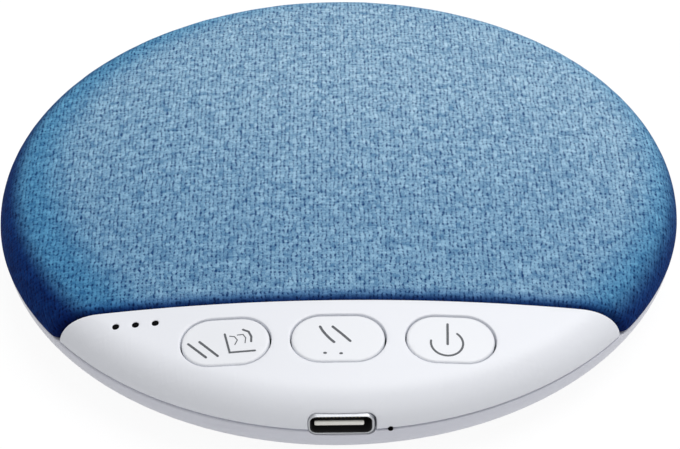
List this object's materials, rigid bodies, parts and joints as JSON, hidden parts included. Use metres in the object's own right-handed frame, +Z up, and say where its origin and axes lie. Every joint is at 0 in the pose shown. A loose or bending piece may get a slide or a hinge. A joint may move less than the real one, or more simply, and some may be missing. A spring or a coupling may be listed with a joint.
{
  "type": "pillow speaker",
  "caption": "Thin round pillow speaker with a cloth-covered dome, a white front segment with sprung keys and indicator holes, and a charging inlet.",
  "frame": {"origin": "centre of the bounding box at the lowest level, where the feet stand", "axes": "+Z up out of the cloth dome, -Y to the front segment with the keys and the inlet, +X to the right seen from the front"},
  "size_m": [0.1004, 0.1002, 0.0162],
  "materials": {
    "base_plastic": "fine satin",
    "shell_plastic": "soft gloss",
    "key_plastic": "soft gloss",
    "foot_rubber": "matte",
    "screw_steel": "plated",
    "grille_plastic": "matte",
    "foam": "open cell foam",
    "blue_cloth": "woven melange",
    "black_plastic": "matte",
    "board": "solder mask",
    "lamp": "clear",
    "mouth_steel": "satin",
    "cell_foil": "satin foil",
    "tape": "paper",
    "lead": "insulation",
    "connector": "matte",
    "frame_steel": "black",
    "magnet": "plated",
    "copper": "enamelled wire",
    "cone_film": "film",
    "rubber_black": "matte"
  },
  "bodies": {
    "housing": {"bottom_shell": "base_plastic", "foot_front_left": "foot_rubber", "foot_front_right": "foot_rubber", "foot_rear_left": "foot_rubber", "foot_rear_right": "foot_rubber", "case_screws": "screw_steel", "dome_grille": "grille_plastic", "foam_pad": "foam", "fabric_cover": "blue_cloth", "control_panel": "shell_plastic", "sound_switch": "black_plastic", "play_switch": "black_plastic", "power_switch": "black_plastic", "main_board": "board", "board_screws": "screw_steel", "main_chip": "black_plastic", "amplifier_chip": "black_plastic", "led_left": "lamp", "led_middle": "lamp", "led_right": "lamp", "light_guide": "black_plastic", "usb_shell": "mouth_steel", "usb_tongue": "connector", "microphone": "screw_steel", "mic_boot": "rubber_black", "battery_cell": "cell_foil", "battery_tape": "tape", "battery_leads": "lead", "battery_socket": "connector", "battery_plug": "connector", "driver_frame": "frame_steel", "driver_yoke": "magnet", "driver_magnet": "magnet", "pole_plate": "magnet", "surround": "rubber_black", "driver_gasket": "rubber_black", "driver_leads": "lead"},
    "sound_key": {"sound_button": "key_plastic", "sound_plunger": "black_plastic"},
    "play_key": {"play_button": "key_plastic", "play_plunger": "black_plastic"},
    "power_key": {"power_button": "key_plastic", "power_plunger": "black_plastic"},
    "cone": {"diaphragm": "cone_film", "voice_coil": "copper"}
  },
  "joints": [
    {"name": "sound_key_press", "type": "slide", "parent": "housing", "child": "sound_key", "axis": [0, 0, -1], "range_m": [0, 0.0004], "stiffness_N_per_m": 2000},
    {"name": "play_key_press", "type": "slide", "parent": "housing", "child": "play_key", "axis": [0, 0, -1], "range_m": [0, 0.0004], "stiffness_N_per_m": 2000},
    {"name": "power_key_press", "type": "slide", "parent": "housing", "child": "power_key", "axis": [0, 0, -1], "range_m": [0, 0.0004], "stiffness_N_per_m": 2000},
    {"name": "cone_stroke", "type": "slide", "parent": "housing", "child": "cone", "axis": [0, 0, 1], "range_m": [-0.0005, 0.0005], "stiffness_N_per_m": 3000, "deforming": ["surround"]}
  ]
}
